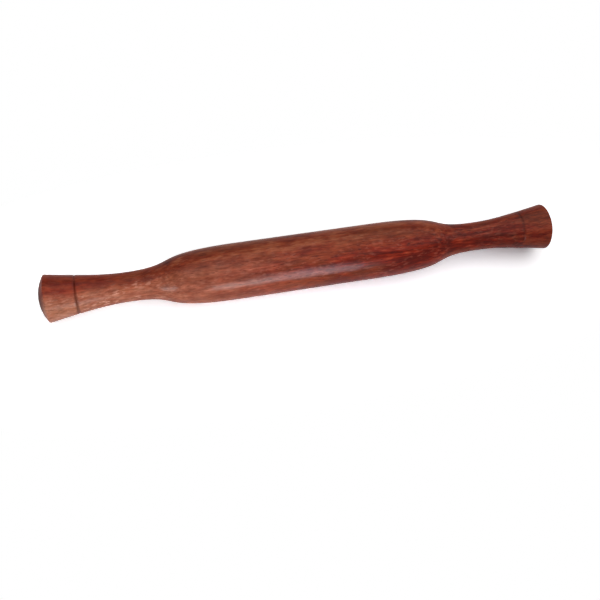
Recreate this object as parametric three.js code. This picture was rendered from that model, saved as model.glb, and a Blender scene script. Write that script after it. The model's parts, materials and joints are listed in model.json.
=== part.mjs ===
// A wooden rolling pin: a turned barrel with long shoulders, two waisted handles with flared, domed ends,
// and inside it a steel rod that carries the barrel in two flanged brass bushes.
// Millimetres, +Z up. The pin lies along X on a worktop at z = 0, with the middle of its length at the origin.

import * as THREE from "three";

// Outline, from the middle of the pin out to one end
const barrelLength = 188; // from nose to nose
const barrelDiameter = 32.6;
const barrelStraight = 80; // parallel stretch in the middle of the barrel
const neckDiameter = 17; // narrowest place of a handle
const neckFromNose = 10; // from the barrel's nose to that narrowest place
const gripLength = 37.4; // handle, from the barrel to the scored line
const knobLength = 16.3; // end knob, from the scored line to its rim
const endDiameter = 27.4; // end knob, at its rim
const domeHeight = 4.4; // end knob, beyond its rim
const scoreWidth = 1.1; // V groove of the scored line
const scoreDepth = 0.6;

// How full the two curves of the outline are, as shares of each curve's own length and rise
const shoulderLead = 0.8; // the shoulder leaves the barrel this straight
const shoulderEase = 0.5; // and runs this straight into the neck
const flareLead = 0.22; // the flare leaves the neck this straight
const flareTail = 0.56; // and runs this straight out to the rim
const flareRise = 0.17; // rise left to the start of that tail

// Rod, and the bushes that it carries in the barrel's noses
const rodDiameter = 6;
const rodStep = 0.5; // the rod's ends are turned down this much all round, for the handles
const rodChamfer = 0.6;
const bushWall = 1.2;
const bushLength = 14;
const flangeThickness = 1.2;
const flangeOverhang = 1.5;

// Washers and nuts that hold a handle on the rod
const thrustWasherDiameter = 12;
const thrustWasherThickness = 1;
const nutWasherDiameter = 10;
const nutWasherThickness = 1;
const nutAcrossFlats = 8;
const nutHeight = 4.7;
const rodPastNut = 1.5;
const spigotLength = 6; // of the end knob, glued into the handle
const spigotLead = 0.6; // chamfer that leads the spigot in

// Clearances
const runningClearance = 0.08; // rod in its bushes, all round
const drillRelief = 0.75; // barrel's long hole around the rod, all round
const fitClearance = 0.1; // pieces that are pressed, pushed or glued together, all round
const seatGap = 0.05; // faces that are clamped or glued together
const endPlay = 0.2; // of the barrel, between each bush and its thrust washer
const seamGap = 0.3; // between the wood of the barrel and of a handle
const spannerClearance = 0.9; // pocket around the nut and its washer, all round
const tipClearance = 0.8; // between the rod's end and the knob's spigot

// Fineness of the facets
const woodSides = 48;
const metalSides = 24;
const shoulderSteps = 13;
const flareSteps = 11;
const domeSteps = 6;
const leastStep = 0.4; // outline points closer than this to a cut are left out

const barrelRadius = barrelDiameter / 2;
const neckRadius = neckDiameter / 2;
const endRadius = endDiameter / 2;

// Stations along the pin, measured from its middle
const noseAt = barrelLength / 2;
const handleAt = noseAt + seamGap;
const scoreAt = handleAt + gripLength;
const knobAt = scoreAt + seatGap;
const rimAt = knobAt + knobLength;
const neckAt = noseAt + neckFromNose;
const rodShoulderAt = noseAt + endPlay;
const washerEndAt = rodShoulderAt + seatGap + thrustWasherThickness;

// The rod's thin ends, and the pocket in the handle's outer end where the nut sits under the knob's spigot
const rodRadius = rodDiameter / 2;
const rodEndRadius = rodRadius - rodStep;
const nutRadius = nutAcrossFlats / Math.sqrt(3);
const pocketRadius = Math.max(nutRadius, nutWasherDiameter / 2) + spannerClearance;
const rodTail = nutWasherThickness + nutHeight + rodPastNut + 2 * seatGap;
const pocketDepth = rodTail + tipClearance + spigotLength;
const pocketFloorAt = scoreAt - pocketDepth;
const rodEndAt = pocketFloorAt + rodTail;

const bushRadius = rodRadius + runningClearance + bushWall;
const flangeRadius = bushRadius + flangeOverhang;

const at = (radius, along) => new THREE.Vector2(radius, along);
const mirrored = (points) => points.map((p) => at(p.x, -p.y)).reverse();

// Half of the outline, from the end of the barrel's parallel stretch to the rim.
function halfOutline() {
  const straightEnd = barrelStraight / 2;
  const shoulder = neckAt - straightEnd;
  const flare = rimAt - neckAt;
  const shoulderCurve = new THREE.CubicBezierCurve(
    at(barrelRadius, straightEnd),
    at(barrelRadius, straightEnd + shoulderLead * shoulder),
    at(neckRadius, neckAt - shoulderEase * shoulder),
    at(neckRadius, neckAt),
  );
  const flareCurve = new THREE.CubicBezierCurve(
    at(neckRadius, neckAt),
    at(neckRadius, neckAt + flareLead * flare),
    at(neckRadius + flareRise * (endRadius - neckRadius), rimAt - flareTail * flare),
    at(endRadius, rimAt),
  );
  return [...shoulderCurve.getPoints(shoulderSteps), ...flareCurve.getPoints(flareSteps).slice(1)];
}

const outline = halfOutline();

function outlineAt(along) {
  const next = Math.max(1, outline.findIndex((p) => p.y >= along));
  const [before, after] = [outline[next - 1], outline[next]];
  return before.clone().lerp(after, (along - before.y) / (after.y - before.y));
}

// The outline between two stations, with a point exactly on each.
function outlineBetween(from, to) {
  const inside = outline.filter((p) => p.y > from + leastStep && p.y < to - leastStep);
  return [outlineAt(from), ...inside, outlineAt(to)];
}

// Solids of revolution: a rod's profile starts and ends on the axis, a ring's closes on itself.
function turned(profile, sides) {
  return new THREE.LatheGeometry(profile, sides, Math.PI / sides);
}

function turnedRing(profile, sides) {
  return turned([...profile, profile[0]], sides);
}

function washerRing(innerRadius, outerRadius, from, to) {
  const profile = [at(innerRadius, from), at(outerRadius, from), at(outerRadius, to), at(innerRadius, to)];
  return turnedRing(profile, metalSides);
}

// Barrel: shoulders mirrored about the middle, a seat for a flanged bush in each nose, and a long hole between.
function barrelGeometry() {
  const shoulder = outlineBetween(barrelStraight / 2, noseAt);
  const seatRadius = bushRadius + fitClearance;
  const recessRadius = flangeRadius + fitClearance;
  const recessAt = noseAt - flangeThickness - seatGap;
  const seatEndAt = noseAt - bushLength - seatGap;
  const bore = [
    at(recessRadius, noseAt),
    at(recessRadius, recessAt),
    at(seatRadius, recessAt),
    at(seatRadius, seatEndAt),
    at(rodRadius + drillRelief, seatEndAt),
  ];
  return turnedRing([...mirrored(shoulder), ...shoulder, ...bore, ...mirrored(bore)], woodSides);
}

// Bush: a sleeve pressed into the nose, with a flange that takes the thrust.
function bushGeometry() {
  const bore = rodRadius + runningClearance;
  const flangeAt = noseAt - flangeThickness;
  const profile = [
    at(bore, noseAt - bushLength),
    at(bushRadius, noseAt - bushLength),
    at(bushRadius, flangeAt),
    at(flangeRadius, flangeAt),
    at(flangeRadius, noseAt),
    at(bore, noseAt),
  ];
  return turnedRing(profile, metalSides);
}

// Rod: full size through the barrel, stepped down at each end for a handle.
function rodGeometry() {
  const end = [
    at(rodRadius, rodShoulderAt),
    at(rodEndRadius, rodShoulderAt),
    at(rodEndRadius, rodEndAt - rodChamfer),
    at(rodEndRadius - rodChamfer, rodEndAt),
    at(0, rodEndAt),
  ];
  return turned([...mirrored(end), ...end], metalSides);
}

// Handle: a counterbore for the thrust washer, a hole for the rod's end and a pocket for the nut.
function handleGeometry() {
  const grip = outlineBetween(handleAt, scoreAt - scoreWidth / 2);
  const holeRadius = rodEndRadius + fitClearance;
  const washerRadius = thrustWasherDiameter / 2 + fitClearance;
  const washerSeatAt = washerEndAt + seatGap;
  const inside = [
    at(outlineAt(scoreAt).x - scoreDepth, scoreAt),
    at(pocketRadius, scoreAt),
    at(pocketRadius, pocketFloorAt),
    at(holeRadius, pocketFloorAt),
    at(holeRadius, washerSeatAt),
    at(washerRadius, washerSeatAt),
    at(washerRadius, handleAt),
  ];
  return turnedRing([...grip, ...inside], woodSides);
}

// End knob: a spigot that closes the pocket, the flared head and its domed face.
function knobGeometry() {
  const spigotRadius = pocketRadius - fitClearance;
  const spigotAt = knobAt - spigotLength;
  const sphereRadius = (endRadius ** 2 + domeHeight ** 2) / (2 * domeHeight);
  const rimAngle = Math.asin(endRadius / sphereRadius);
  const dome = Array.from({ length: domeSteps }, (_, i) => {
    const angle = rimAngle * (1 - (i + 1) / domeSteps);
    const height = sphereRadius * (Math.cos(angle) - Math.cos(rimAngle));
    return at(sphereRadius * Math.sin(angle), rimAt + height);
  });
  const profile = [
    at(0, spigotAt),
    at(spigotRadius - spigotLead, spigotAt),
    at(spigotRadius, spigotAt + spigotLead),
    at(spigotRadius, knobAt),
    at(outlineAt(knobAt).x - scoreDepth, knobAt),
    ...outlineBetween(knobAt + scoreWidth / 2, rimAt),
    ...dome,
  ];
  return turned(profile, woodSides);
}

function thrustWasherGeometry() {
  const from = rodShoulderAt + seatGap;
  return washerRing(rodEndRadius + fitClearance, thrustWasherDiameter / 2, from, washerEndAt);
}

function nutWasherGeometry() {
  const from = pocketFloorAt + seatGap;
  const to = from + nutWasherThickness;
  return washerRing(rodEndRadius + fitClearance, nutWasherDiameter / 2, from, to);
}

// Nut: a hexagon with a round hole, standing on its washer.
function nutGeometry() {
  const corners = Array.from({ length: 6 }, (_, i) => {
    const angle = (i * Math.PI) / 3;
    return at(nutRadius * Math.cos(angle), nutRadius * Math.sin(angle));
  });
  const hexagon = new THREE.Shape(corners);
  hexagon.holes.push(new THREE.Path().absarc(0, 0, rodEndRadius + fitClearance, 0, 2 * Math.PI));
  const prism = new THREE.ExtrudeGeometry(hexagon, {
    depth: nutHeight,
    bevelEnabled: false,
    curveSegments: metalSides,
  });
  prism.rotateX(-Math.PI / 2);
  return prism.translate(0, pocketFloorAt + nutWasherThickness + 2 * seatGap, 0);
}

const rosewood = new THREE.MeshStandardMaterial({ color: 0x8a4632, roughness: 0.42, metalness: 0 });
const darkRosewood = new THREE.MeshStandardMaterial({ color: 0x7a3a2a, roughness: 0.45, metalness: 0 });
const brass = new THREE.MeshStandardMaterial({ color: 0xb5943f, roughness: 0.35, metalness: 1 });
const steel = new THREE.MeshStandardMaterial({ color: 0x9a9c9f, roughness: 0.3, metalness: 1 });

function mesh(name, geometry, material) {
  const made = new THREE.Mesh(geometry, material);
  made.name = name;
  return made;
}

// Everything that one end of the pin has, on the +X side; the other end is the same, turned half round.
function endPieces(side) {
  const end = new THREE.Group();
  end.add(
    mesh(`${side}_bush`, bushGeometry(), brass),
    mesh(`${side}_thrust_washer`, thrustWasherGeometry(), steel),
    mesh(`${side}_handle`, handleGeometry(), rosewood),
    mesh(`${side}_nut_washer`, nutWasherGeometry(), steel),
    mesh(`${side}_nut`, nutGeometry(), steel),
    mesh(`${side}_end_knob`, knobGeometry(), darkRosewood),
  );
  return end;
}

const pin = new THREE.Group();
pin.rotation.z = -Math.PI / 2; // the pieces are turned about Y, and the pin lies along X
pin.position.z = barrelRadius * Math.cos(Math.PI / woodSides); // one flat facet rests on the worktop

const rightEnd = endPieces("right");
const leftEnd = endPieces("left");
leftEnd.rotation.z = Math.PI;

pin.add(
  mesh("barrel", barrelGeometry(), rosewood),
  mesh("axle_rod", rodGeometry(), steel),
  rightEnd,
  leftEnd,
);

export default pin;
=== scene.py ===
# %% [markdown]
# # A turned rolling pin with a barrel that spins
#
# The real pin comes off a lathe: every piece of it is a profile turned round one axis. The barrel runs on a
# steel rod between two handles, each handle is closed by an end knob, and a thin burnt line covers that
# joint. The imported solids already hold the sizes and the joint, so this lesson only has to make the pin look
# right. It builds a fine mesh for each piece, in metres and in the same frame, and then adds the finishes,
# the light and the view.

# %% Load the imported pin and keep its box
import json
import math

import bmesh
import bpy
from mathutils import Color, Matrix, Vector
from mathutils.geometry import interpolate_bezier


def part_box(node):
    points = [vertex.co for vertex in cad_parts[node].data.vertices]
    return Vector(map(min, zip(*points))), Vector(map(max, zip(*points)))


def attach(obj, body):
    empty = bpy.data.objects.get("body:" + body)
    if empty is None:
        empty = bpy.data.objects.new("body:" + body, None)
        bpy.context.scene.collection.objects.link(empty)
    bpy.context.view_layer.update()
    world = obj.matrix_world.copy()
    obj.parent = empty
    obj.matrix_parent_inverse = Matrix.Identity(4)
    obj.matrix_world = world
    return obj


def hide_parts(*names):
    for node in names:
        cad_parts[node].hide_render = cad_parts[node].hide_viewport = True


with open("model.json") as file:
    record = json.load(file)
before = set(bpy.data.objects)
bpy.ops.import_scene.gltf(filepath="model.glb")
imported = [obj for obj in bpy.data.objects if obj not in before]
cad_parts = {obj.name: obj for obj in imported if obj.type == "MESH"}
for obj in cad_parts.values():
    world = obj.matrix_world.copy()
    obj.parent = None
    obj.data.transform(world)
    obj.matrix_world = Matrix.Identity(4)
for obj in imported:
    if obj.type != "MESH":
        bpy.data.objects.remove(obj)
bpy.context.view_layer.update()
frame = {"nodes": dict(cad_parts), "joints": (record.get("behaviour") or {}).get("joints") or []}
print("packed pieces:", sorted(frame["nodes"]))

# %% [markdown]
# ## Sizes
#
# A mesh that is typed in by hand drifts away from the part that it dresses. So most sizes here are read off
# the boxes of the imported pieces, and only what a box can't tell, such as the waist of a handle, is written
# down. The pin lies along X, and the joint's own position gives the height of its axis.

# %% Read the main stations and radii
MM = 0.001
AXIS_HEIGHT = frame["joints"][0]["pos_m"][2]


def reach(node):
    """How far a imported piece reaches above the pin's axis."""
    low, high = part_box(node)
    return (high.z - low.z) / 2


def span(node):
    """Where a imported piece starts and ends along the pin."""
    low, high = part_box(node)
    return low.x, high.x


NOSE = span("barrel")[1]
HANDLE_START, SCORE = span("right_handle")
SPIGOT_START, TIP = span("right_end_knob")
BARREL_RADIUS = reach("barrel")
END_RADIUS = reach("right_end_knob")
print(f"nose {NOSE / MM:.1f}, scored line {SCORE / MM:.1f}, tip {TIP / MM:.1f} mm from the middle")

# %% [markdown]
# ## The outline
#
# One half of the pin is a straight stretch, an S-curve down the shoulder to the waist, and a flare out to the
# rim. A row of measured points would do, but it would show every small error as a ripple in the highlight.
# Two Bezier curves give the same line with four points each, and they stay smooth however finely they are
# cut.

# %% Draw half of the outline
BARREL_STRAIGHT = 80 * MM
NECK_RADIUS = 8.5 * MM
NECK = NOSE + 10 * MM
DOME_HEIGHT = 4.4 * MM
RIM = TIP - DOME_HEIGHT
SHOULDER_LEAD, SHOULDER_EASE = 0.8, 0.5
FLARE_LEAD, FLARE_TAIL, FLARE_RISE = 0.22, 0.56, 0.17
SHOULDER_STEPS, FLARE_STEPS = 64, 40


def half_outline():
    """(x, radius) points from the end of the straight stretch to the rim."""
    straight_end = BARREL_STRAIGHT / 2
    shoulder = NECK - straight_end
    flare = RIM - NECK
    shoulder_points = interpolate_bezier(
        Vector((straight_end, BARREL_RADIUS)),
        Vector((straight_end + SHOULDER_LEAD * shoulder, BARREL_RADIUS)),
        Vector((NECK - SHOULDER_EASE * shoulder, NECK_RADIUS)),
        Vector((NECK, NECK_RADIUS)),
        SHOULDER_STEPS,
    )
    flare_points = interpolate_bezier(
        Vector((NECK, NECK_RADIUS)),
        Vector((NECK + FLARE_LEAD * flare, NECK_RADIUS)),
        Vector((RIM - FLARE_TAIL * flare, NECK_RADIUS + FLARE_RISE * (END_RADIUS - NECK_RADIUS))),
        Vector((RIM, END_RADIUS)),
        FLARE_STEPS,
    )
    return [Vector(p[:2]) for p in shoulder_points + flare_points[1:]]


OUTLINE = half_outline()
print(f"outline: {len(OUTLINE)} points, waist {NECK_RADIUS / MM:.1f} mm, rim {END_RADIUS / MM:.1f} mm")

# %% Cut a stretch out of the outline
POINT_CLEARANCE = 0.5 * MM


def radius_at(x):
    """The outline's radius at one station."""
    for before, after in zip(OUTLINE, OUTLINE[1:]):
        if before.x <= x <= after.x:
            return before.lerp(after, (x - before.x) / (after.x - before.x)).y
    return OUTLINE[-1].y


def outline_between(start, end):
    """Outline points between two stations, with one exactly on each."""
    inside = [p for p in OUTLINE if start + POINT_CLEARANCE < p.x < end - POINT_CLEARANCE]
    return [Vector((start, radius_at(start))), *inside, Vector((end, radius_at(end)))]


print(f"radius at the nose {radius_at(NOSE) / MM:.2f}, at the scored line {radius_at(SCORE) / MM:.2f} mm")

# %% [markdown]
# ## Soft edges
#
# No edge on sanded wood is sharp: each one is rubbed round, and that thin round is what catches the light.
# A Bevel modifier could do it, but the profile is flat, so it is simpler to round its corners before turning.
# A corner is (x, radius, ease): the ease is how far from the corner the round starts.

# %% Round the corners of a profile
CORNER_STEPS = 4


def eased(corners):
    """(x, radius) points of a profile, with a short curve at each corner that has an ease."""
    path = []
    for i, (x, radius, ease) in enumerate(corners):
        here = Vector((x, radius))
        if ease == 0:
            path.append(here)
            continue
        before = Vector(corners[i - 1][:2])
        after = Vector(corners[(i + 1) % len(corners)][:2])
        start = here + (before - here).normalized() * ease
        end = here + (after - here).normalized() * ease
        for k in range(CORNER_STEPS + 1):
            t = k / CORNER_STEPS
            path.append(start * (1 - t) ** 2 + here * 2 * t * (1 - t) + end * t**2)
    return path


def plain(points):
    """Smooth stretches of outline as corners with no ease."""
    return [(p.x, p.y, 0) for p in points]


def flipped(corners):
    """The same corners on the other half of the pin, in the order that goes on from there."""
    return [(-x, radius, ease) for x, radius, ease in reversed(corners)]


print(f"a rubbed corner becomes {CORNER_STEPS + 1} points")

# %% [markdown]
# ## The lathe
#
# Blender's Screw modifier turns an edge into a body, and so does bmesh's spin. Spin is used here because the
# result is a mesh at once, so the hand-cut line and the screw threads can be pushed into it afterwards.
# A profile that starts on the axis gives a solid piece, and one that closes on itself gives a ring.

# %% Spin a profile round the pin's axis
WELD = 0.0005 * MM
SHARP_ANGLE = math.radians(32)


def turn(name, profile, sides):
    """A closed mesh piece: the profile turned once round the pin's axis."""
    bm = bmesh.new()
    points = [bm.verts.new((p.x, 0, AXIS_HEIGHT + p.y)) for p in profile]
    solid = profile[0].y == 0
    following = points[1:] if solid else points[1:] + points[:1]
    edges = [bm.edges.new(pair) for pair in zip(points, following)]
    bmesh.ops.spin(
        bm,
        geom=points + edges,
        cent=(0, 0, AXIS_HEIGHT),
        axis=(1, 0, 0),
        angle=math.tau,
        steps=sides,
        use_merge=True,
    )
    bmesh.ops.remove_doubles(bm, verts=bm.verts, dist=WELD)
    bmesh.ops.recalc_face_normals(bm, faces=bm.faces)
    open_edges = sum(not e.is_manifold for e in bm.edges)
    mesh = bpy.data.meshes.new(name)
    bm.to_mesh(mesh)
    bm.free()
    mesh.shade_smooth()
    mesh.set_sharp_from_angle(angle=SHARP_ANGLE)
    piece = bpy.data.objects.new(name, mesh)
    bpy.context.collection.objects.link(piece)
    print(f"{name}: {len(mesh.polygons)} faces, {open_edges} open edges")
    return piece


print(f"edges over {math.degrees(SHARP_ANGLE):.0f} degrees stay crisp")

# %% [markdown]
# ## Nodes without the clutter
#
# The finishes are procedural, so each one is a tree of nodes. It could be wired by hand in the Shader Editor,
# but then it couldn't be read here, and in plain Python every node takes three lines. These helpers take the
# sockets as a dictionary: a number or a colour is set, and the output of another node is linked.

# %% Add nodes and fill their sockets
MIX_FACTOR, MIX_FIRST, MIX_SECOND, MIX_RESULT = 0, 6, 7, 2


def fill(tree, node, sockets):
    """Set or link the given sockets of a node."""
    for socket, value in sockets.items():
        if isinstance(value, bpy.types.NodeSocket):
            tree.links.new(value, node.inputs[socket])
        else:
            node.inputs[socket].default_value = value


def add(tree, kind, sockets=None, **options):
    """A new shader node with its options set and its sockets filled."""
    node = tree.nodes.new(f"ShaderNode{kind}")
    for option, value in options.items():
        setattr(node, option, value)
    fill(tree, node, sockets or {})
    return node


def blend(tree, factor, first, second, how="MIX"):
    """Two colours mixed by a factor. A Mix node has its colour sockets after those for numbers."""
    sockets = {MIX_FACTOR: factor, MIX_FIRST: first, MIX_SECOND: second}
    return add(tree, "Mix", sockets, data_type="RGBA", blend_type=how).outputs[MIX_RESULT]


def colour(red, green, blue):
    """A colour as a paint program shows it, from 0 to 255, in the linear values that nodes use."""
    shown = Color((red / 255, green / 255, blue / 255))
    return (*shown.from_srgb_to_scene_linear(), 1)


print("half grey in linear values:", [round(share, 3) for share in colour(128, 128, 128)])

# %% [markdown]
# ## The run of the fibres
#
# The wood is a red-brown rosewood. Its fibres run along the pin, wander a little as they did in the trunk,
# and go right through the blank. A picture of wood wrapped round the pin would smear on the shoulders. So the
# finish starts from a point's place in a solid blank, and a soft noise bends that place sideways. All the
# wood comes from one blank, so the grain runs on from a handle to its knob.

# %% Bend the fibres of the blank
BLANK = (2.25, -1.12, 1.17)
WANDER_CELLS = (7, 28, 28)
GRAIN_BEND = 7 * MM
NOISE_MEAN = 0.5


def combined(tree, how, first, second):
    """Two vectors put together."""
    return add(tree, "VectorMath", {0: first, 1: second}, operation=how).outputs[0]


def own_place(tree):
    """Where a point lies on its own piece."""
    return add(tree, "TexCoord").outputs["Object"]


def counted(tree, vector, cells):
    """Coordinates with so many noise cells to the metre along each axis."""
    return add(tree, "Mapping", {"Vector": vector, "Scale": cells}).outputs[0]


def bent_grain(tree):
    """A point's place in the blank, bent sideways as fibres wander in a trunk."""
    moved = combined(tree, "ADD", own_place(tree), BLANK)
    wander = add(tree, "TexNoise", {"Vector": counted(tree, moved, WANDER_CELLS), "Scale": 1, "Detail": 2})
    centred = combined(tree, "SUBTRACT", wander.outputs["Color"], (NOISE_MEAN,) * 3)
    sideways = combined(tree, "MULTIPLY", centred, (0, GRAIN_BEND, GRAIN_BEND))
    return combined(tree, "ADD", moved, sideways)


print(f"the fibres wander by up to {GRAIN_BEND / 2 / MM:.1f} mm to each side")

# %% [markdown]
# ## Sizes in the grain
#
# Rosewood shows things of very different sizes, all drawn out along the fibres: broad bands, long streaks, a
# cloudy mottle, fine threads, and flecks only a few millimetres long. One noise with many octaves would blur
# them into fog. So each has a noise of its own, with few cells to the metre along the pin and many across it.

# %% Draw out noise along the grain
GRAIN_SIZES = {
    "bands": (20, 150, 2),
    "streaks": (28, 480, 3),
    "mottle": (110, 300, 2),
    "cloud": (160, 300, 2),
    "fibres": (160, 1300, 2),
    "flecks": (260, 760, 3),
    "clusters": (45, 130, 2),
    "tint": (22, 70, 2),
}
NOISE_ROUGHNESS = 0.6


def grain_noises(tree, grain):
    """A noise from 0 to 1 for each size, given as cells along, cells across and octaves."""
    noises = {}
    for size, (along, across, octaves) in GRAIN_SIZES.items():
        cells = counted(tree, grain, (along, across, across))
        sockets = {"Vector": cells, "Scale": 1, "Detail": octaves, "Roughness": NOISE_ROUGHNESS}
        noises[size] = add(tree, "TexNoise", sockets).outputs[0]
    return noises


for size, (along, across, octaves) in GRAIN_SIZES.items():
    print(f"{size}: about {1 / along / MM:.1f} by {1 / across / MM:.1f} mm, {octaves} octaves")

# %% [markdown]
# ## Zones of the blank
#
# No blank has one colour, and here the zones carry painted light and shade as well. This one was sawn
# near the bark: towards its left front it runs into paler, pinker sapwood, which is palest at the tip and
# starts lower there; that pale front is partly painted light and a painted sheen. The back of that end is
# redder, partly as painted shade. Towards the right front and the right end it runs into the deepest
# heartwood; the darker right front is partly painted shade, and the right end is lifted with painted light.
# The top of the barrel is a little lighter. Paint on the mesh could show this, but it would end at the
# surface. A zone is a share from 0 to 1 instead, faded with the distance along the pin and from its axis,
# so it goes through the wood like grain.

# %% Mark the zones of the blank
LEFT_FULL, LEFT_NONE = -100 * MM, 30 * MM
LEFT_END_FULL, LEFT_END_NONE = -110 * MM, -80 * MM
LEFT_TIP_FULL, LEFT_TIP_NONE, LEFT_TIP_STEP = -134 * MM, -122 * MM, 3.5 * MM
RIGHT_END_FULL, RIGHT_END_NONE = 90 * MM, 60 * MM
FRONT_SIDE = (0, -0.94, 0.34)
FRONT_FULL, FRONT_NONE = 9 * MM, 1 * MM
TOP_SIDE = (0, 0.36, 0.93)
TOP_FULL, TOP_NONE = 15 * MM, 9 * MM
TOP_MIDDLE, TOP_REACH, TOP_END = 10 * MM, 25 * MM, 80 * MM
FLECKED_FULL, FLECKED_NONE = -105 * MM, -70 * MM


def maths(tree, how, *values):
    """The result of one Math node."""
    return add(tree, "Math", dict(enumerate(values)), operation=how).outputs[0]


def weighted(tree, start, *parts):
    """A start, plus each value times its weight."""
    for value, weight in parts:
        start = maths(tree, "MULTIPLY_ADD", value, weight, start)
    return start


def within(tree, value, full, none):
    """1 where a value has reached full, fading to 0 where it has reached none."""
    sockets = {"Value": value, "From Min": full, "From Max": none, "To Min": 1, "To Max": 0}
    return add(tree, "MapRange", sockets, interpolation_type="SMOOTHSTEP").outputs[0]


def towards(tree, at, side):
    """How far a point lies towards one side of the pin."""
    return add(tree, "VectorMath", {0: at, 1: side}, operation="DOT_PRODUCT").outputs["Value"]


def zones(tree):
    """How far a point lies in each zone of the blank."""
    at = combined(tree, "ADD", own_place(tree), (0, 0, -AXIS_HEIGHT))
    along = add(tree, "SeparateXYZ", {0: at}).outputs["X"]
    left = within(tree, along, LEFT_FULL, LEFT_NONE)
    left_end = within(tree, along, LEFT_END_FULL, LEFT_END_NONE)
    left_tip = within(tree, along, LEFT_TIP_FULL, LEFT_TIP_NONE)
    forward = weighted(tree, towards(tree, at, FRONT_SIDE), (left_tip, -LEFT_TIP_STEP))
    front = within(tree, forward, FRONT_FULL, FRONT_NONE)
    top = within(tree, towards(tree, at, TOP_SIDE), TOP_FULL, TOP_NONE)
    from_middle = maths(tree, "ABSOLUTE", weighted(tree, -TOP_MIDDLE, (along, 1)))
    # The right front is deep heartwood and, partly, painted shade where the front lamps fall.
    right_front_heart_and_shade = maths(tree, "MULTIPLY", weighted(tree, 1, (left, -1)), front)
    # The right end is deep heartwood; its lift in the ground colour is painted light.
    right_end = within(tree, along, RIGHT_END_FULL, RIGHT_END_NONE)
    flecked_length = within(tree, along, FLECKED_FULL, FLECKED_NONE)
    return {
        "left": left,
        "sapwood_and_painted_light": maths(tree, "MULTIPLY", left, front),
        "left_tip": left_tip,
        # The redder back of the left end is heartwood and, partly, painted shade.
        "left_back_heart_and_shade": maths(tree, "MULTIPLY", weighted(tree, 1, (front, -1)), left_end),
        "right_front_heart_and_shade": right_front_heart_and_shade,
        "right_end": right_end,
        "deepest_heart_and_shade": maths(tree, "MAXIMUM", right_front_heart_and_shade, right_end),
        "light_top": maths(tree, "MULTIPLY", within(tree, from_middle, TOP_REACH, TOP_END), top),
        "flecked": maths(tree, "MULTIPLY", front, flecked_length),
    }


print(f"sapwood fades out from {LEFT_FULL / MM:.0f} to {LEFT_NONE / MM:.0f} mm along the pin")

# %% [markdown]
# ## Heartwood and sapwood, with painted light and shade
#
# The colour of rosewood swings between dark and light brown with every growth band. A Color Ramp turns a
# noise into just that swing, with as many tones as it takes. One ramp for the whole pin would make sapwood
# look like bleached heartwood. So each kind of wood has its own ramp, and the zones mix them. The pale tones
# also carry painted light and sheen on the left front, and the deep tones carry painted shade on the right
# front and the left back. The deepest heartwood also gets streaks, and a weak brown tint in large patches
# keeps the red from looking dyed.

# %% Colour the heartwood and the sapwood, with painted light and shade
HEARTWOOD = (
    (0.3, colour(90, 23, 8)),
    (0.44, colour(122, 40, 18)),
    (0.56, colour(149, 61, 33)),
    (0.7, colour(175, 90, 57)),
)
# These deep tones are partly the wood's own and partly painted shade on the right front and the left back.
DEEP_HEARTWOOD_AND_SHADE = (
    (0.2, colour(92, 17, 3)),
    (0.4, colour(128, 30, 8)),
    (0.6, colour(155, 59, 33)),
)
# The pale tones are partly the sapwood's own and partly painted light and a painted sheen on the left front.
SAPWOOD_AND_SHEEN = (
    (0.3, colour(117, 57, 39)),
    (0.5, colour(148, 88, 67)),
    (0.7, colour(172, 117, 93)),
)
BAND_WEIGHT, MOTTLE_WEIGHT, FIGURE_START = 0.666, 0.614, -0.19
# The lifts of the left and of the left tip are partly paler wood and partly painted light; the right end's
# lift is painted light.
LEFT_PALE_AND_LIT, TOP_LIFT, RIGHT_END_PAINTED_LIGHT = 0.08, 0.16, 0.08
LEFT_BACK_LIFT, LEFT_TIP_PALE_AND_LIT = 0.03, 0.14
DEEP_STREAKS = 0.95
CLOUD_SHARE = 0.5
ZONE_STRENGTH = 0.85
TINT, TINT_STRENGTH = colour(134, 68, 35), 0.35
TINT_FULL, TINT_NONE = 0.36, 0.52


def ramp(tree, factor, stops):
    """A Color Ramp with the given (position, colour) stops."""
    node = add(tree, "ValToRGB", {"Fac": factor})
    elements = node.color_ramp.elements
    for position, _ in stops[len(elements):]:
        elements.new(position)
    for element, (position, tone) in zip(elements, stops):
        element.position = position
        element.color = tone
    return node.outputs[0]


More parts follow.
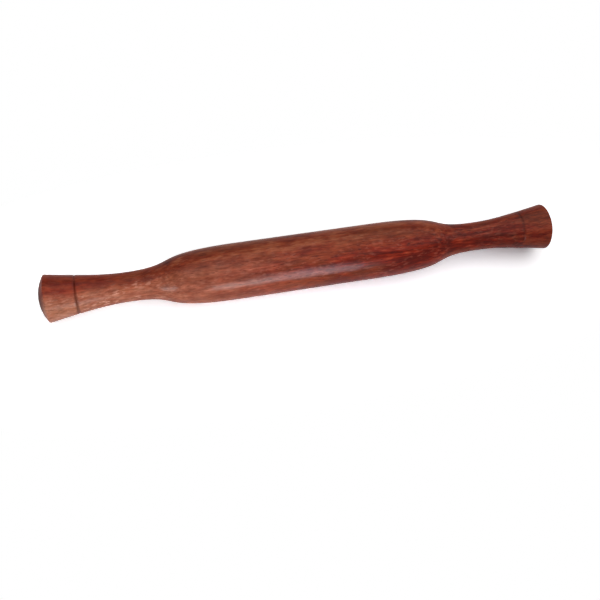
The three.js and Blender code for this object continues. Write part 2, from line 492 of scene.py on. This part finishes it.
def ground_colour(tree, noise, zone, depth):
    """Heartwood and sapwood, each with its own figure, mixed as the zones say, with painted light and shade.
    """
    banded = weighted(tree, FIGURE_START, (noise["bands"], BAND_WEIGHT), (noise["mottle"], MOTTLE_WEIGHT))
    # Painted light: the left is lifted, partly as light falling on it.
    lifted = weighted(tree, banded, (zone["light_top"], TOP_LIFT), (zone["left"], LEFT_PALE_AND_LIT))
    # Painted shade darkens the right front by depth, and painted light lifts the right end.
    sunk = weighted(tree, lifted, (zone["right_front_heart_and_shade"], -depth), (zone["right_end"], RIGHT_END_PAINTED_LIGHT))
    streaks = maths(tree, "MULTIPLY", weighted(tree, -NOISE_MEAN, (noise["streaks"], 1)), zone["deepest_heart_and_shade"])
    figure = weighted(tree, sunk, (streaks, DEEP_STREAKS), (zone["left_back_heart_and_shade"], LEFT_BACK_LIFT))
    clouded = weighted(tree, 0, (noise["bands"], 1 - CLOUD_SHARE), (noise["cloud"], CLOUD_SHARE))
    # The left tip is paler, partly as painted light.
    paled = weighted(tree, clouded, (zone["left_tip"], LEFT_TIP_PALE_AND_LIT))
    # The deep share is heartwood and, partly, painted shade on the right front and the left back.
    deep_and_shade_share = weighted(tree, 0, (zone["deepest_heart_and_shade"], ZONE_STRENGTH), (zone["left_back_heart_and_shade"], ZONE_STRENGTH))
    # The sapwood share is partly pale sapwood and partly painted light and sheen on the lower left front.
    sap_and_light_share = weighted(tree, 0, (zone["sapwood_and_painted_light"], ZONE_STRENGTH))
    tint_share = weighted(tree, 0, (within(tree, noise["tint"], TINT_FULL, TINT_NONE), TINT_STRENGTH))
    heart = blend(tree, deep_and_shade_share, ramp(tree, figure, HEARTWOOD), ramp(tree, figure, DEEP_HEARTWOOD_AND_SHADE))
    ground = blend(tree, sap_and_light_share, heart, ramp(tree, paled, SAPWOOD_AND_SHEEN))
    return blend(tree, tint_share, ground, TINT)


print(f"tones: {len(HEARTWOOD)} heartwood, {len(DEEP_HEARTWOOD_AND_SHADE)} deep heartwood, {len(SAPWOOD_AND_SHEEN)} sapwood")

# %% [markdown]
# ## Fibres, pores and flecks
#
# Close up, rosewood is a bundle of threads, with short dark dashes where the knife has opened a pore and pale
# flecks where it has cut a ray. A photograph would hold all three at one fixed size. Here the threads are
# multiplied over the ground colour, the pores come from a Voronoi texture, whose cells have a middle to be
# dark, and the flecks are the peaks of a noise, gathered in clusters. The zones make the pores strongest in
# the deep heartwood and the flecks strongest on the sapwood of the left handle.

# %% Draw the fibres
FIBRE_TONES = ((0.3, colour(175, 170, 168)), (0.7, colour(255, 255, 255)))
FIBRE_STRENGTH, DEEP_FIBRES = 0.8, 0.2


def with_fibres(tree, ground, noise, zone):
    """The ground colour, threaded with light and dark fibres."""
    strength = weighted(tree, FIBRE_STRENGTH, (zone["deepest_heart_and_shade"], DEEP_FIBRES))
    return blend(tree, strength, ground, ramp(tree, noise["fibres"], FIBRE_TONES), "MULTIPLY")


print(f"fibres: strength {FIBRE_STRENGTH}, in the deepest heartwood {FIBRE_STRENGTH + DEEP_FIBRES}")

# %% Open the pores and cut the flecks
PORE_CELLS = (190, 1050, 1050)
PORE_FULL, PORE_NONE = 0.1, 0.3
PORE_TONE = colour(63, 19, 13)
PORE_STRENGTH, DEEP_PORES = 0.45, 0.5
FLECK_FULL, FLECK_NONE = 0.68, 0.49
CLUSTER_FULL, CLUSTER_NONE = 0.55, 0.37
FLECK_TONE, DEEP_FLECK_TONE = colour(212, 158, 136), colour(220, 128, 104)
FLECK_STRENGTH, SAP_FLECKS, DEEP_FLECKS = 0.07, 0.5, 0.04


def pore_dashes(tree, grain, share):
    """Where the pores are, and how much of them shows."""
    cells = add(tree, "TexVoronoi", {"Vector": counted(tree, grain, PORE_CELLS), "Scale": 1})
    return weighted(tree, 0, (within(tree, cells.outputs["Distance"], PORE_FULL, PORE_NONE), share))


def with_pores(tree, wood, pores, zone):
    """The wood with dark dashes on it."""
    strength = weighted(tree, PORE_STRENGTH, (zone["deepest_heart_and_shade"], DEEP_PORES))
    return blend(tree, maths(tree, "MULTIPLY", pores, strength), wood, PORE_TONE)


def with_flecks(tree, wood, noise, zone, share):
    """The wood with clusters of pale flecks on it."""
    flecks = within(tree, noise["flecks"], FLECK_FULL, FLECK_NONE)
    clusters = within(tree, noise["clusters"], CLUSTER_FULL, CLUSTER_NONE)
    clustered = maths(tree, "MULTIPLY", flecks, clusters)
    strength = weighted(tree, FLECK_STRENGTH, (zone["flecked"], SAP_FLECKS), (zone["deepest_heart_and_shade"], DEEP_FLECKS))
    shown = maths(tree, "MULTIPLY", clustered, maths(tree, "MULTIPLY", strength, share))
    return blend(tree, shown, wood, blend(tree, zone["deepest_heart_and_shade"], FLECK_TONE, DEEP_FLECK_TONE))


print(f"pores: about {1 / PORE_CELLS[0] / MM:.1f} mm long and {1 / PORE_CELLS[1] / MM:.1f} mm wide")

# %% [markdown]
# ## Varnish
#
# The pin is finished with a thin varnish that shines softly. It follows the fibres a little, so the highlight
# is streaky, and it sinks into the bare end grain of the knobs, which stays dark and dull. A glossy shader
# could be mixed in for it. The coat of a Principled BSDF does the same with fewer nodes, and has a roughness
# and a normal of its own, so the wood under it can stay matt and open-pored. Two marks are stored on the
# meshes, how burnt a point is and how much of it is end grain, and Attribute nodes read them.

# %% Varnish the wood
COAT, COAT_ROUGHNESS = 0.16, 0.15
WOOD_SHINE = 0.02
WOOD_ROUGHNESS, FIBRE_ROUGHNESS, PORE_ROUGHNESS = 0.38, 0.16, 0.1
FIBRE_HEIGHT, PORE_HEIGHT, RELIEF_STRENGTH, RELIEF_DEPTH = 0.3, -1.0, 0.3, 0.15 * MM
RIPPLE_FIBRES, RIPPLE_STRENGTH, RIPPLE_DEPTH = 0.6, 0.35, 0.25 * MM


def bumped(tree, height, strength, depth):
    """A normal that follows a height."""
    return add(tree, "Bump", {"Height": height, "Strength": strength, "Distance": depth}).outputs[0]


def varnish(tree, shader, noise, pores, coat):
    """Open-pored wood under a coat that ripples with the fibres."""
    fibres = noise["fibres"]
    relief = weighted(tree, 0, (fibres, FIBRE_HEIGHT), (pores, PORE_HEIGHT))
    ripple = weighted(tree, noise["mottle"], (fibres, RIPPLE_FIBRES))
    sockets = {
        "Roughness": weighted(tree, WOOD_ROUGHNESS, (fibres, FIBRE_ROUGHNESS), (pores, PORE_ROUGHNESS)),
        "Normal": bumped(tree, relief, RELIEF_STRENGTH, RELIEF_DEPTH),
        "Specular IOR Level": WOOD_SHINE,
        "Coat Weight": coat,
        "Coat Roughness": COAT_ROUGHNESS,
        "Coat Normal": bumped(tree, ripple, RIPPLE_STRENGTH, RIPPLE_DEPTH),
    }
    fill(tree, shader, sockets)


print(f"varnish: coat {COAT}, roughness {COAT_ROUGHNESS}")

# %% Put the rosewood together
END_GRAIN_TONE, END_GRAIN_STRENGTH = colour(52, 19, 12), 0.85
SCORCH_TONE, SCORCH_STRENGTH = colour(53, 19, 13), 0.55


def new_material(name):
    """A new material, with its node tree and its shader."""
    material = bpy.data.materials.new(name)
    material.use_nodes = True
    return material, material.node_tree, material.node_tree.nodes["Principled BSDF"]


def stored(tree, mark):
    """A mark that is stored on the mesh."""
    return add(tree, "Attribute", attribute_name=mark).outputs["Fac"]


def rosewood(name, pore_share, depth, bare_ends=False):
    """Rosewood with so much of its pores showing, and painted shade by so much at the right front."""
    material, tree, shader = new_material(name)
    grain = bent_grain(tree)
    noise = grain_noises(tree, grain)
    zone = zones(tree)
    pores = pore_dashes(tree, grain, pore_share)
    surface = ground_colour(tree, noise, zone, depth)
    surface = with_fibres(tree, surface, noise, zone)
    surface = with_pores(tree, surface, pores, zone)
    surface = with_flecks(tree, surface, noise, zone, pore_share)
    coat = COAT
    if bare_ends:
        end_grain = stored(tree, "end_grain")
        surface = blend(tree, weighted(tree, 0, (end_grain, END_GRAIN_STRENGTH)), surface, END_GRAIN_TONE)
        coat = weighted(tree, COAT, (end_grain, -COAT))
    burnt = weighted(tree, 0, (stored(tree, "scorch"), SCORCH_STRENGTH))
    fill(tree, shader, {"Base Color": blend(tree, burnt, surface, SCORCH_TONE)})
    varnish(tree, shader, noise, pores, coat)
    print(f"{name}: {len(tree.nodes)} nodes")
    return material


# The barrel gets painted shade at its right front; the knobs get none, which leaves them lighter as painted
# light.
barrel_rosewood = rosewood("barrel_rosewood", pore_share=1.0, depth=0.19)
knob_rosewood = rosewood("knob_rosewood", pore_share=0.45, depth=0.0, bare_ends=True)

# %% [markdown]
# ## The barrel
#
# The barrel is one block of wood with a long hole through it and a seat in each nose for a flanged bush. The
# hole could be cut with a Boolean modifier, but it is round too, so the profile simply goes out along the
# outside and comes back through the bore. The gap to the handle is narrowed to a hairline, because on the
# real pin the seam can only just be found in the waist.

# %% Turn the barrel
WOOD_SIDES = 192
FIT = 0.1 * MM
SEAT_GAP = 0.05 * MM
SEAM_CLOSED = 0.14 * MM
SEAM_EASE = 0.03 * MM
BUSH_RADIUS = 4.28 * MM
FLANGE_THICKNESS = 1.2 * MM
DRILL_RELIEF = 0.75 * MM


def place(piece, node, body, material):
    """Give a piece its finish, parent it to its body's empty and hide the imported piece it replaces."""
    piece.data.materials.append(material)
    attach(piece, body)
    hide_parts(node)


def barrel_profile():
    """The whole barrel: outside from nose to nose, then back through the bore."""
    face = NOSE + SEAM_CLOSED
    shoulder = plain(outline_between(BARREL_STRAIGHT / 2, face))
    shoulder[-1] = (*shoulder[-1][:2], SEAM_EASE)
    recess = reach("right_bush") + FIT
    seat_end = span("right_bush")[0] - SEAT_GAP
    recess_floor = NOSE - FLANGE_THICKNESS - SEAT_GAP
    bore = [
        (face, recess, 0),
        (recess_floor, recess, 0),
        (recess_floor, BUSH_RADIUS + FIT, 0),
        (seat_end, BUSH_RADIUS + FIT, 0),
        (seat_end, reach("axle_rod") + DRILL_RELIEF, 0),
    ]
    return eased(flipped(shoulder) + shoulder + bore + flipped(bore))


barrel = turn("barrel_turned", barrel_profile(), WOOD_SIDES)
place(barrel, "barrel", "barrel", barrel_rosewood)

# %% [markdown]
# ## The burnt line
#
# A turner marks the line where knob and handle meet with a skew chisel, and burns it dark with a wire while
# the pin spins. A dark stripe in the material alone would look painted, so a groove is cut into both meshes.
# Cut by hand, it wanders by a fraction of a millimetre, and both sides of the joint have to wander alike. The
# wire bites harder on one side, so the line fades on its way round. How burnt a point is, and on the knobs
# how much of it is end grain, is stored on the mesh for the rosewood to read.

# %% Let the scored line wander, and burn it
WANDER = 0.14 * MM
WANDER_REACH = 4 * MM
WANDER_WAVES = ((1, 1.0, 0.0), (2, 0.6, 1.3), (5, 0.4, 0.0))
SCORCH_FULL, SCORCH_NONE = 0.45 * MM, 1.2 * MM
BITE_SIDE = 1.45
BARE_SHARE = 0.4


def smooth(share):
    """0 to 1, eased at both ends."""
    share = min(1, max(0, share))
    return share * share * (3 - 2 * share)


def polar(vertex):
    """A vertex's angle round the pin's axis and its distance from it."""
    across, up = vertex.co.y, vertex.co.z - AXIS_HEIGHT
    return math.atan2(across, up), math.hypot(across, up)


def cut_by_hand(piece, line, phase, heat):
    """Push the mesh near the scored line along the pin a little, and store how burnt it is."""
    scorch = piece.data.attributes.new("scorch", "FLOAT", "POINT")
    for vertex, burn in zip(piece.data.vertices, scorch.data):
        away = abs(vertex.co.x - line)
        angle = polar(vertex)[0] + phase
        bite = heat * (1 + math.cos(angle - BITE_SIDE)) / 2
        burn.value = bite * (1 - smooth((away - SCORCH_FULL) / (SCORCH_NONE - SCORCH_FULL)))
        wave = sum(height * math.sin(times * angle + start) for times, height, start in WANDER_WAVES)
        vertex.co.x += WANDER * wave * smooth(1 - away / WANDER_REACH)


def bare_end_grain(knob):
    """Store how much of the dome is end grain, which drinks the finish and goes dark towards the heart."""
    share = knob.data.attributes.new("end_grain", "FLOAT", "POINT")
    for vertex, dark in zip(knob.data.vertices, share.data):
        if abs(vertex.co.x) > RIM:
            dark.value = smooth((1 - polar(vertex)[1] / END_RADIUS) / BARE_SHARE)


print(f"the burn is darkest over {2 * SCORCH_FULL / MM:.1f} mm and gone after {2 * SCORCH_NONE / MM:.1f} mm")

# %% [markdown]
# ## Handles
#
# A handle is a turned ring: a shallow seat for the thrust washer, a hole for the rod's end, and a pocket
# where the nut is tightened. Two halves could be modelled and mirrored, but a turned piece needs only its
# profile. Both ends of the pin have the same one, apart from the groove at its outer end, which is shallower
# on the right.

# %% Draw the handle's profile
ROD_END_RADIUS = 2.5 * MM
SPANNER_ROOM = 0.9 * MM
GROOVE_HALF = 0.5 * MM
LIP_EASE = 0.2 * MM
WASHER_SIDES = 24
POCKET_RADIUS = reach("right_nut_washer") / math.cos(math.pi / WASHER_SIDES) + SPANNER_ROOM


def handle_profile(groove):
    """The right handle: grip, groove, pocket, hole and washer seat."""
    grip = plain(outline_between(HANDLE_START - SEAM_CLOSED, SCORE - GROOVE_HALF))
    grip[0] = (*grip[0][:2], SEAM_EASE)
    grip[-1] = (*grip[-1][:2], LIP_EASE)
    pocket_floor = span("right_nut_washer")[0] - SEAT_GAP
    washer_seat = span("right_thrust_washer")[1] + SEAT_GAP
    washer_radius = reach("right_thrust_washer") + FIT
    hole = ROD_END_RADIUS + FIT
    inside = [
        (SCORE, radius_at(SCORE) - groove, 0),
        (SCORE, POCKET_RADIUS, 0),
        (pocket_floor, POCKET_RADIUS, 0),
        (pocket_floor, hole, 0),
        (washer_seat, hole, 0),
        (washer_seat, washer_radius, 0),
        (HANDLE_START - SEAM_CLOSED, washer_radius, 0),
    ]
    return eased(grip + inside)


print(f"pocket for the nut: {2 * POCKET_RADIUS / MM:.1f} mm wide")

# %% [markdown]
# ## End knobs
#
# An end knob closes the pocket with a spigot and ends in a low dome. A squashed sphere would give a dome too,
# but its rim would meet the flare at the wrong angle. A true arc through the rim and the tip needs only the
# dome's height. Knob and handle are turned as a pair, so that their groove wanders alike.

# %% Draw the knob's profile
SPIGOT_LEAD = 0.6 * MM
RIM_EASE = 0.7 * MM
DOME_STEPS = 14
KNOB_START = SCORE + SEAT_GAP


def dome():
    """Points of the domed end, from just past the rim to the tip on the axis."""
    sphere = (END_RADIUS**2 + DOME_HEIGHT**2) / (2 * DOME_HEIGHT)
    rim_angle = math.asin(END_RADIUS / sphere)
    angles = [rim_angle * (1 - step / DOME_STEPS) for step in range(1, DOME_STEPS + 1)]
    heights = [sphere * (math.cos(a) - math.cos(rim_angle)) for a in angles]
    radii = [sphere * math.sin(a) for a in angles[:-1]] + [0]
    return [(RIM + height, radius, 0) for height, radius in zip(heights, radii)]


def knob_profile(groove):
    """The right end knob: spigot, groove, flare, rim and dome."""
    spigot = POCKET_RADIUS - FIT
    flare = plain(outline_between(KNOB_START + GROOVE_HALF, RIM))
    flare[0] = (*flare[0][:2], LIP_EASE)
    flare[-1] = (*flare[-1][:2], RIM_EASE)
    root = [
        (SPIGOT_START, 0, 0),
        (SPIGOT_START, spigot, SPIGOT_LEAD),
        (KNOB_START, spigot, 0),
        (KNOB_START, radius_at(KNOB_START) - groove, 0),
    ]
    return eased(root + flare + dome())


print(f"spigot {(KNOB_START - SPIGOT_START) / MM:.1f} mm long, dome {DOME_HEIGHT / MM:.1f} mm high")

# %% Turn the handles and the knobs
ENDS = {
    "right": {"facing": 1, "phase": 0.7, "heat": 0.75, "groove": 0.15 * MM},
    "left": {"facing": -1, "phase": 2.6, "heat": 1.0, "groove": 0.4 * MM},
}


def on_end(profile, facing):
    """A profile of the right end, on the end that faces that way."""
    return [Vector((facing * p.x, p.y)) for p in profile]


for side, end in ENDS.items():
    line = end["facing"] * (SCORE + SEAT_GAP / 2)
    handle = turn(f"{side}_handle_turned", on_end(handle_profile(end["groove"]), end["facing"]), WOOD_SIDES)
    cut_by_hand(handle, line, end["phase"], end["heat"])
    place(handle, f"{side}_handle", "handle_set", barrel_rosewood)
    knob = turn(f"{side}_end_knob_turned", on_end(knob_profile(end["groove"]), end["facing"]), WOOD_SIDES)
    cut_by_hand(knob, line, end["phase"], end["heat"])
    bare_end_grain(knob)
    place(knob, f"{side}_end_knob", "handle_set", knob_rosewood)

# %% [markdown]
# ## Brass and steel
#
# Nobody sees the rod, bushes, washers and nuts in a picture of the whole pin, but they are there when it is
# taken apart. Bare metal that was turned or drawn has fine lines round it or along it. The Anisotropic socket
# would streak the highlight without any lines, so the lines are made instead: a noise drawn out that way
# sets the tone, the roughness and a very fine relief.

# %% Make the metals
LINE_ROUGHNESS = 0.2
LINE_STRENGTH, LINE_DEPTH = 0.2, 0.02 * MM
LINE_OCTAVES = 4
DEEP_STOP, PALE_STOP = 0.3, 0.7
LINES_ROUND, LINES_ALONG = (6000, 150, 150), (120, 5000, 5000)


def lined_metal(name, deep, pale, cells, roughness):
    """Bare metal in two tones, with so many tool lines to the metre along each axis."""
    material, tree, shader = new_material(name)
    vector = counted(tree, own_place(tree), cells)
    lines = add(tree, "TexNoise", {"Vector": vector, "Scale": 1, "Detail": LINE_OCTAVES}).outputs[0]
    sockets = {
        "Base Color": ramp(tree, lines, ((DEEP_STOP, deep), (PALE_STOP, pale))),
        "Roughness": weighted(tree, roughness, (lines, LINE_ROUGHNESS)),
        "Normal": bumped(tree, lines, LINE_STRENGTH, LINE_DEPTH),
        "Metallic": 1,
    }
    fill(tree, shader, sockets)
    print(f"{name}: {len(tree.nodes)} nodes")
    return material


bush_brass = lined_metal(
    "bush_brass",
    deep=colour(168, 128, 58),
    pale=colour(214, 178, 96),
    cells=LINES_ROUND,
    roughness=0.25,
)
drawn_steel = lined_metal(
    "drawn_steel",
    deep=colour(150, 152, 156),
    pale=colour(196, 198, 202),
    cells=LINES_ALONG,
    roughness=0.22,
)

# %% [markdown]
# ## The rod
#
# The rod runs through the whole pin. It is stepped down where it enters the handles, and its ends are
# threaded for the nuts. The Screw modifier could wind a thread, but it would have to be joined to the rod.
# Here the end is turned with enough rings for it, and each vertex is pressed in by a triangle wave that
# climbs one pitch with each turn.

# %% Turn the rod and roll its threads
METAL_SIDES = 72
THREAD_PITCH = 0.8 * MM
THREAD_DEPTH = 0.4 * MM
THREAD_LENGTH = 16 * MM
THREAD_STEPS = 6
ROD_CHAMFER = 0.6 * MM
END_PLAY = 0.2 * MM
ROD_END = span("axle_rod")[1]


def set_radius(vertex, angle, radius):
    """Move a vertex to another distance from the axis."""
    vertex.co.y = radius * math.sin(angle)
    vertex.co.z = AXIS_HEIGHT + radius * math.cos(angle)


def rod_profile():
    """The rod: full size between the handles, stepped down and threaded at each end."""
    thread_start = ROD_END - THREAD_LENGTH
    threaded = THREAD_LENGTH - ROD_CHAMFER
    count = round(threaded / THREAD_PITCH * THREAD_STEPS)
    thread = [(thread_start + threaded * i / count, ROD_END_RADIUS, 0) for i in range(count + 1)]
    half = [
        (NOSE + END_PLAY, reach("axle_rod"), 0),
        (NOSE + END_PLAY, ROD_END_RADIUS, 0),
        *thread,
        (ROD_END, ROD_END_RADIUS - ROD_CHAMFER, 0),
        (ROD_END, 0, 0),
    ]
    return eased(flipped(half) + half)


def roll_threads(rod):
    """Press a screw thread into both ends."""
    for vertex in rod.data.vertices:
        along = abs(vertex.co.x)
        angle, radius = polar(vertex)
        if ROD_END - THREAD_LENGTH <= along < ROD_END and radius > ROD_END_RADIUS / 2:
            turns = vertex.co.x / THREAD_PITCH + angle / math.tau
            height = abs(2 * (turns % 1) - 1)
            fade = smooth((along - ROD_END + THREAD_LENGTH) / THREAD_PITCH)
            set_radius(vertex, angle, radius - THREAD_DEPTH * height * fade)


rod = turn("axle_rod_turned", rod_profile(), METAL_SIDES)
roll_threads(rod)
place(rod, "axle_rod", "handle_set", drawn_steel)

# %% [markdown]
# ## Bushes and washers
#
# The barrel turns on two flanged brass bushes, and each flange runs against a steel washer. Another washer
# lies under each nut. They could be cut from cylinders with modifiers, but they are turned pieces like the
# wood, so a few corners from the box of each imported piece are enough.

# %% Turn the bushes and the washers
RUNNING = 0.08 * MM
METAL_EASE = 0.15 * MM
ROD_HOLE = ROD_END_RADIUS + FIT


def bush_corners():
    """Corners of the right bush: a sleeve with a flange at the nose."""
    start, end = span("right_bush")
    bore = reach("axle_rod") + RUNNING
    flange = reach("right_bush")
    return [
        (start, bore, METAL_EASE),
        (start, BUSH_RADIUS, METAL_EASE),
        (end - FLANGE_THICKNESS, BUSH_RADIUS, 0),
        (end - FLANGE_THICKNESS, flange, METAL_EASE),
        (end, flange, METAL_EASE),
        (end, bore, METAL_EASE),
    ]


def washer_corners(node):
    """Corners of a washer with rubbed edges."""
    start, end = span(node)
    rim = reach(node)
    square = ((start, ROD_HOLE), (start, rim), (end, rim), (end, ROD_HOLE))
    return [(x, radius, METAL_EASE) for x, radius in square]


for side, end in ENDS.items():
    bush = turn(f"{side}_bush_turned", on_end(eased(bush_corners()), end["facing"]), METAL_SIDES)
    place(bush, f"{side}_bush", "barrel", bush_brass)
    for node in (f"{side}_thrust_washer", f"{side}_nut_washer"):
        washer = turn(f"{node}_punched", eased(washer_corners(node)), METAL_SIDES)
        place(washer, node, "handle_set", drawn_steel)

# %% [markdown]
# ## Nuts
#
# A hexagon nut clamps each handle against the step of the rod. Blender's cylinder with six sides is a start,
# but a real nut is chamfered on a lathe, which leaves a curved edge on each flat. So the nut is turned as a
# disc first, then its rim is pulled in to the flats, and the faces drop away where the corners stick out.

# %% Turn the nuts and cut their flats
NUT_SIDES = 6
HALF_SIDE = math.pi / NUT_SIDES
NUT_CHAMFER_TAN = math.tan(math.radians(30))
NUT_FACE_SHARE = 0.95


def nut_corners(node):
    """Corners of a nut before its flats are cut."""
    start, end = span(node)
    corner_radius = reach(node) / math.cos(HALF_SIDE)
    face = NUT_FACE_SHARE * reach(node)
    return [
        (start, ROD_HOLE, 0),
        (start, face, 0),
        (start, corner_radius, 0),
        (end, corner_radius, 0),
        (end, face, 0),
        (end, ROD_HOLE, 0),
    ]


def cut_flats(nut, node):
    """Cut a turned nut to a hexagon, and let its chamfer follow the corners."""
    middle = sum(span(node)) / 2
    face = NUT_FACE_SHARE * reach(node)
    for vertex in nut.data.vertices:
        angle, radius = polar(vertex)
        if radius > reach(node):
            flat = reach(node) / math.cos((angle + HALF_SIDE) % (2 * HALF_SIDE) - HALF_SIDE)
            drop = (flat - face) * NUT_CHAMFER_TAN
            set_radius(vertex, angle, flat)
            vertex.co.x += drop if vertex.co.x < middle else -drop


for side in ENDS:
    node = f"{side}_nut"
    nut = turn(f"{node}_cut", eased(nut_corners(node)), METAL_SIDES)
    cut_flats(nut, node)
    place(nut, node, "handle_set", drawn_steel)

# %% [markdown]
# ## Floor
#
# The picture's ground is plain white, yet the pin should still lie on something, so its shadow has to stay. A
# white floor under plain light comes out grey, and stronger lamps would bleach the wood. So the floor's
# colour is raised instead, but only for the rays that look at it, straight or in a reflection. The light that
# bounces off it stays low. Away from the pin and its shadow the floor is pure white.

# %% Lay the floor
FLOOR_SIZE = 12.0
FLOOR_BOUNCE = (0.16, 0.16, 0.16, 1)
FLOOR_SEEN = (1.75, 1.75, 1.75, 1)
PURE_WHITE = (1, 1, 1, 1)
SHADOW_REACH = (0.17, 0.05, 1)
SHADOW_FULL, SHADOW_NONE = 0.9, 1.7


def looked_at(tree):
    """1 for rays that look at a surface, straight or in a reflection, and 0 for the light that it sheds."""
    rays = add(tree, "LightPath").outputs
    glancing = maths(tree, "ADD", rays["Is Glossy Ray"], rays["Is Transmission Ray"])
    return maths(tree, "ADD", rays["Is Camera Ray"], glancing)


def floor_material():
    """White to look at, with the pin's shadow near it, and a weak grey as a source of light."""
    material, tree, _ = new_material("white_floor")
    tree.nodes.clear()
    share = combined(tree, "DIVIDE", own_place(tree), SHADOW_REACH)
    away = add(tree, "VectorMath", {0: share}, operation="LENGTH").outputs["Value"]
    near = within(tree, away, SHADOW_FULL, SHADOW_NONE)
    shadowed = add(tree, "BsdfDiffuse", {"Color": FLOOR_SEEN}).outputs[0]
    white = add(tree, "Emission", {"Color": PURE_WHITE, "Strength": 1}).outputs[0]
    seen = add(tree, "MixShader", {0: near, 1: white, 2: shadowed}).outputs[0]
    bounce = add(tree, "BsdfDiffuse", {"Color": FLOOR_BOUNCE}).outputs[0]
    surface = add(tree, "MixShader", {0: looked_at(tree), 1: bounce, 2: seen}).outputs[0]
    add(tree, "OutputMaterial", {"Surface": surface})
    return material


bpy.ops.mesh.primitive_plane_add(size=FLOOR_SIZE)
floor = bpy.context.object
floor.name = "floor"
floor.data.materials.append(floor_material())
print(f"floor: {FLOOR_SIZE:.0f} m wide, sheds {FLOOR_BOUNCE[0]:.0%} of the light that falls on it")

# %% [markdown]
# ## Lamps
#
# In the picture the wood is lit softly from above, a little brighter on the left, and one long cool highlight
# lies along the lower front of the barrel, as from two panes of a window. A picture of a room round the pin
# could light it, but its reflections couldn't be moved. So there is a big softbox overhead, a small one by
# the left handle, and two panes of daylight in front. Their light is plain: a colour comes out about as
# bright as it is written.

# %% Hang the softboxes
PIN_MIDDLE = Vector((0, 0, AXIS_HEIGHT))
WHITE = (1, 1, 1)
DAYLIGHT = (0.85, 0.85, 1)
SKYLIGHT = (1, 0.98, 0.95)
WIDE, NARROW, WINDOW = math.radians(180), math.radians(45), math.radians(55)


def softbox(name, at, aim, size, power, spread=WIDE, tone=WHITE):
    """A rectangular lamp at a point, turned to face another."""
    lamp = bpy.data.lights.new(name, "AREA")
    lamp.color = tone
    lamp.spread = spread
    lamp.shape = "RECTANGLE"
    lamp.size, lamp.size_y = size
    lamp.energy = power
    holder = bpy.data.objects.new(name, lamp)
    holder.location = at
    holder.rotation_mode = "QUATERNION"
    holder.rotation_quaternion = (Vector(aim) - Vector(at)).to_track_quat("-Z", "Y")
    bpy.context.collection.objects.link(holder)
    print(f"{name}: {power} W, {size[0]} by {size[1]} m")


softbox("overhead_softbox", at=(0.3, 0.2, 1.0), aim=PIN_MIDDLE, size=(1.8, 1.8), power=13.6)
softbox(
    "left_softbox",
    at=(-0.4, -0.3, 0.12),
    aim=(-0.23, 0, AXIS_HEIGHT),
    size=(0.25, 0.22),
    power=0.2,
    spread=NARROW,
)
softbox(
    "window_right",
    at=(0.085, -0.4, 0.17),
    aim=(0, 0, 0.05),
    size=(0.09, 0.34),
    power=0.165,
    spread=WINDOW,
    tone=DAYLIGHT,
)
softbox(
    "window_left",
    at=(-0.015, -0.4, 0.12),
    aim=(-0.04, 0, 0.05),
    size=(0.11, 0.2),
    power=0.12,
    spread=WINDOW,
    tone=SKYLIGHT,
)

# %% [markdown]
# ## Room
#
# A white room would be bright enough to light the pin by itself, and then the lamps could shape nothing. A
# dark one would show black in the varnish. So the room, like the floor, is white to look at and in
# reflections, but sheds only a little light.

# %% Paint the room
ROOM_LIGHT = 0.06
room = bpy.data.worlds.new("white_studio")
room.use_nodes = True
walls = room.node_tree
strength = weighted(walls, ROOM_LIGHT, (looked_at(walls), 1 - ROOM_LIGHT))
fill(walls, walls.nodes["Background"], {"Color": PURE_WHITE, "Strength": strength})
bpy.context.scene.world = room
print(f"room: white to look at, sheds {ROOM_LIGHT:.0%} of that light")

# %% [markdown]
# ## Camera
#
# The pin's own perspective gives the place of the camera: its left end is nearer, both end faces just turn
# away, and it rises to the right. An ordinary 50 mm lens half a metre away shows all three. A turned piece
# looks the same from every side of its axis, so the outline can't tell how high the camera stands. The
# highlight can: it only falls low on the barrel if the camera looks down steeply. Searching for that place by
# hand would lose the outline again. So the camera is placed for the outline first, and then swung up about
# the pin's axis as one rigid thing.

# %% Place the camera and swing it up
VIEW_AZIMUTH = math.radians(-13.6)
VIEW_ELEVATION = math.radians(39.2)
VIEW_DISTANCE = 487.3 * MM
SWING = math.radians(30)
AIM_LEFT = 3.8 * MM
AIM_BELOW = 23 * MM
LENS, SENSOR = 50, 36
NEAREST_SEEN = 10 * MM

back = Vector((
    math.sin(VIEW_AZIMUTH) * math.cos(VIEW_ELEVATION),
    -math.cos(VIEW_AZIMUTH) * math.cos(VIEW_ELEVATION),
    math.sin(VIEW_ELEVATION),
))
right = Vector((math.cos(VIEW_AZIMUTH), math.sin(VIEW_AZIMUTH), 0))
up = back.cross(right)
aim = PIN_MIDDLE - right * AIM_LEFT - up * AIM_BELOW

camera = bpy.data.objects.new("camera", bpy.data.cameras.new("camera"))
camera.data.lens = LENS
camera.data.sensor_width = SENSOR
camera.data.clip_start = NEAREST_SEEN
camera.location = PIN_MIDDLE + back * VIEW_DISTANCE
camera.rotation_mode = "QUATERNION"
camera.rotation_quaternion = (aim - camera.location).to_track_quat("-Z", "Y")
bpy.context.collection.objects.link(camera)
bpy.context.view_layer.update()
to_axis = Matrix.Translation(PIN_MIDDLE)
swing_up = to_axis @ Matrix.Rotation(-SWING, 4, "X") @ to_axis.inverted()
camera.matrix_world = swing_up @ camera.matrix_world
bpy.context.scene.camera = camera
bpy.context.scene.view_settings.view_transform = "Standard"
print(f"camera at {tuple(round(c / MM) for c in camera.location)} mm")
